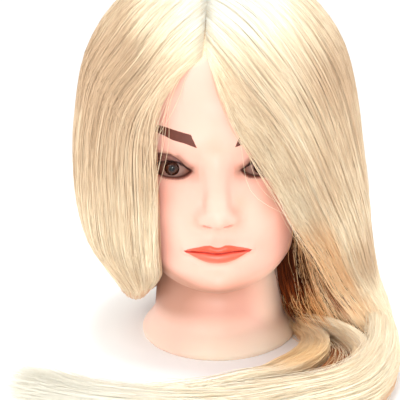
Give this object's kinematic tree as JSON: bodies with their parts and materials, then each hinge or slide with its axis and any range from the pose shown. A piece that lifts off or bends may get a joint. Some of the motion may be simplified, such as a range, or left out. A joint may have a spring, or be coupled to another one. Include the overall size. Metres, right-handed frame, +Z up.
{
  "type": "mannequin training head",
  "caption": "Hairdresser's training head with long straight blond hair swept over one side, set-in eyes and a socket for a table clamp in the base of the neck.",
  "frame": {"origin": "middle of the mouth of the clamp socket's bore, on the plane the base stands on", "axes": "+Z up along the bore and the neck; the face looks along -Y, so the head's own right is -X and its left is +X"},
  "size_m": [0.3149, 0.2907, 0.304],
  "materials": {
    "vinyl": "satin",
    "foam": "matte",
    "plug": "satin",
    "socket": "satin",
    "screw": "satin",
    "eye_white": "gloss",
    "iris": "satin",
    "cornea": "gloss",
    "lash": "matte",
    "hair": "satin"
  },
  "bodies": {
    "root": {"head_shell": "vinyl", "foam_core": "foam", "neck_plug": "plug", "clamp_socket": "socket", "socket_screws": "screw", "eye_right": "eye_white", "eye_left": "eye_white", "iris_right": "iris", "iris_left": "iris", "cornea_right": "cornea", "cornea_left": "cornea", "lashes_right": "lash", "lashes_left": "lash", "hair_crown": "hair", "hair_front_right": "hair", "hair_side_right": "hair", "hair_back_right": "hair", "hair_back_left": "hair", "hair_side_left": "hair", "hair_fringe_left": "hair", "hair_nape_gather": "hair", "hair_fall_left": "hair", "hair_table_sweep": "hair", "hair_tips": "hair"}
  },
  "joints": []
}
